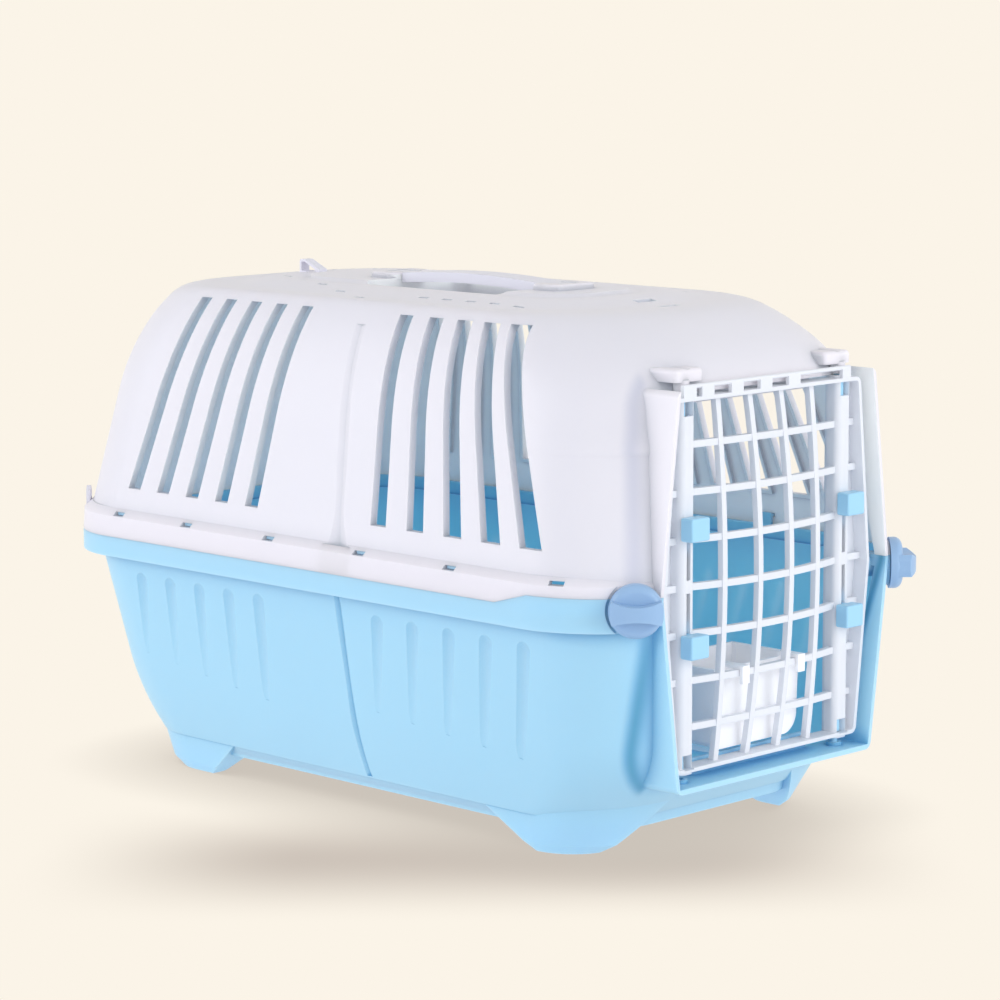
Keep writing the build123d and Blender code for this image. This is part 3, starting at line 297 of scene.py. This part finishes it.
# Latch rods: four sky blue mouldings that slide in the door's channels. The thumb blocks stand out in front
# of the bars, and the pins at the rods' ends go into sockets in the collar.
ROD_PLACES = [f"{side}_{level}" for side in ("near", "far") for level in ("upper", "lower")]
latch_blue = plastic("latch_blue", (0.38, 0.69, 0.91), roughness=0.28, grain_depth=0.03, scatter=0.10)
dress(latch_blue, *(f"latch_rod_{place}" for place in ROD_PLACES))

# Latch springs: wound from steel wire, one for each rod. A spring stands in the door's channel between the
# plug in its middle and the inner end of its rod, and pushes the rod's pin out.
spring_steel = plastic("spring_steel", (0.30, 0.31, 0.33), roughness=0.30, grain_depth=0.02, scatter=0.0)
feed(shader_of(spring_steel), {"Metallic": 1.0})
dress(spring_steel, *(f"latch_spring_{place}" for place in ROD_PLACES))

# Corner knobs and their cams: moulded in a deeper violet blue than the latches, smooth to the finger. Each
# knob's shaft turns in an ear of the tray, and its cam locks over the shell's edge.
knob_blue = plastic(
    "knob_violet_blue", (0.32, 0.50, 0.74), roughness=0.28, grain_depth=0.03, scatter=0.10
)
dress(knob_blue, "lock_knob_near", "lock_knob_far", "knob_cam_near", "knob_cam_far")

# Feeding bowl: a thin, glossy white moulding that hangs by two hooks on a bar of the door and lifts off
# upwards. Light passes its walls, and a faint painted glow makes it show bright behind the lower bars.
bowl_white = plastic(
    "bowl_white", (0.95, 0.95, 0.98), roughness=0.22, grain_depth=0.02, scatter=0.3, scatter_depth=0.006
)
# A painted glow: a faint even emission that brightens the bowl where it stands in shade.
feed(shader_of(bowl_white), {"Emission Color": (1.0, 1.0, 1.0), "Emission Strength": 0.06})
dress(bowl_white, "feeding_bowl")

# Backdrop: one pale cream, which the camera, glossy rays and rays through clear things see. For all other
# rays it is a cool, even studio light, a little stronger from low down than from overhead.
CREAM = (0.965, 0.905, 0.807)
SKY_LIGHT = (0.93, 0.96, 1.0)
LOW_SKY, HIGH_SKY = 0.1, 1.0
LOW_STRENGTH, HIGH_STRENGTH = 0.80, 0.54
world = bpy.data.worlds.new("studio")
bpy.context.scene.world = world
world.use_nodes = True
sky = world.node_tree
sky.nodes.clear()
sky_ray = add_node(sky, "TexCoord").outputs["Generated"]
sky_height = add_node(sky, "SeparateXYZ", {"Vector": sky_ray}).outputs["Z"]
sky_strength = map_range(sky, sky_height, LOW_SKY, HIGH_SKY, LOW_STRENGTH, HIGH_STRENGTH)
sky_light = add_node(sky, "Background", {"Color": SKY_LIGHT, "Strength": sky_strength})
sky_seen = add_node(sky, "Background", {"Color": CREAM})
sky_path = add_node(sky, "LightPath").outputs
sky_sharp = math_step(sky, "MAXIMUM", sky_path["Is Glossy Ray"], sky_path["Is Transmission Ray"])
sky_mix = add_node(sky, "MixShader", {
    "Fac": math_step(sky, "MAXIMUM", sky_path["Is Camera Ray"], sky_sharp),
    1: sky_light.outputs["Background"],
    2: sky_seen.outputs["Background"],
})
add_node(sky, "OutputWorld", {"Surface": sky_mix.outputs["Shader"]})

# Floor: the same cream, with painted shade where the carrier keeps light from it and a painted soft pool of
# shadow along the near side. It glows by itself, so it runs into the backdrop with no seam.
FLOOR_REACH = 30.0
SHADE_REACH = 0.08
SHUT_SHARE, OPEN_SHARE = 0.10, 0.95
# Painted shadow colours: the shade under the carrier, set by ambient occlusion, and the pool along the near
# side.
PAINTED_SHADE_UNDER_CARRIER = (0.60, 0.55, 0.49)
PAINTED_POOL_SHADOW = (0.618, 0.553, 0.492)
FLOOR_BOUNCE = (0.80, 0.84, 0.92)
POOL_TURN = math.radians(44.66)
floor_mesh = bpy.data.meshes.new("floor")
floor_form = bmesh.new()
bmesh.ops.create_grid(floor_form, x_segments=1, y_segments=1, size=FLOOR_REACH)
floor_form.to_mesh(floor_mesh)
floor_form.free()
floor = bpy.data.objects.new("floor", floor_mesh)
bpy.context.scene.collection.objects.link(floor)
floor_cream = bpy.data.materials.new("floor")
floor_cream.use_nodes = True
ground = floor_cream.node_tree
ground.nodes.clear()
ground_place = add_node(ground, "TexCoord").outputs["Object"]


def soft_span(axis, centre, full, edge):
    """1 up to the full distance from the centre, measured along a level axis, and 0 from the edge on."""
    along = vector_step(ground, "DOT_PRODUCT", "Value", ground_place, axis)
    off_centre = math_step(ground, "ABSOLUTE", math_step(ground, "SUBTRACT", along, centre))
    return map_range(ground, off_centre, full, edge, 1.0, 0.0, interpolation_type="SMOOTHSTEP")


pool_length = soft_span((math.cos(POOL_TURN), math.sin(POOL_TURN), 0.0), centre=0.008, full=0.10, edge=0.268)
pool_depth = soft_span((-math.sin(POOL_TURN), math.cos(POOL_TURN), 0.0), centre=-0.190, full=0.0, edge=0.135)
painted_shadow_pool = math_step(ground, "MULTIPLY", pool_length, pool_depth)
shade = add_node(ground, "AmbientOcclusion", {"Distance": SHADE_REACH}, samples=16)
openness = map_range(ground, shade.outputs["AO"], SHUT_SHARE, OPEN_SHARE)
# What the camera sees: the cream with the painted shade and the painted shadow pool mixed in.
floor_seen = mix_colors(ground, openness, PAINTED_SHADE_UNDER_CARRIER, mix_colors(ground, painted_shadow_pool, CREAM, PAINTED_POOL_SHADOW))
floor_path = add_node(ground, "LightPath").outputs
floor_color = mix_colors(ground, floor_path["Is Diffuse Ray"], floor_seen, FLOOR_BOUNCE)
floor_glow = add_node(ground, "Emission", {"Color": floor_color})
add_node(ground, "OutputMaterial", {"Surface": floor_glow.outputs["Emission"]})
floor_mesh.materials.append(floor_cream)


# Soft studio lights: four square softboxes. The strongest two stand to the near side and before the door, a
# weak one fills the near front corner, and a faint one hangs overhead.
def softbox(name, place, target, size, energy, color):
    data = bpy.data.lights.new(name, "AREA")
    data.shape = "SQUARE"
    data.size = size
    data.energy = energy
    data.color = color
    lamp = bpy.data.objects.new(name, data)
    lamp.location = place
    lamp.rotation_euler = (Vector(target) - Vector(place)).to_track_quat("-Z", "Y").to_euler()
    bpy.context.scene.collection.objects.link(lamp)


softbox("side_key", (-1.6, -2.3, 1.0), (0.0, 0.0, 0.15), size=1.8, energy=27.0, color=(0.96, 0.965, 1.0))
softbox("front_fill", (2.4, 0.5, 0.9), (0.1, 0.0, 0.15), size=1.8, energy=25.0, color=(0.95, 0.97, 0.99))
softbox("near_fill", (1.7, -2.0, 0.5), (0.1, 0.0, 0.15), size=1.6, energy=5.5, color=(0.96, 0.97, 0.99))
softbox("top_fill", (0.2, 0.3, 2.6), (0.0, 0.0, 0.2), size=2.0, energy=0.5, color=(1.0, 1.0, 1.0))

# Camera: a long lens that looks at the near front corner from a little above. Its place, turn and lens come
# from a fit of the carrier's rim, seam, collar and feet to the photograph.
SENSOR_WIDTH_MM = 36.0
LENS_MM = 121.80
CAMERA_PLACE = (1.434907, -1.433364, 0.473037)
CAMERA_TURN_DEGREES = (81.62165, 0.18039, 44.65823)
camera_data = bpy.data.cameras.new("camera")
camera_data.sensor_width = SENSOR_WIDTH_MM
camera_data.lens = LENS_MM
camera = bpy.data.objects.new("camera", camera_data)
camera.location = CAMERA_PLACE
camera.rotation_euler = [math.radians(angle) for angle in CAMERA_TURN_DEGREES]
bpy.context.scene.collection.objects.link(camera)
bpy.context.scene.camera = camera
bpy.context.scene.view_settings.view_transform = "Standard"
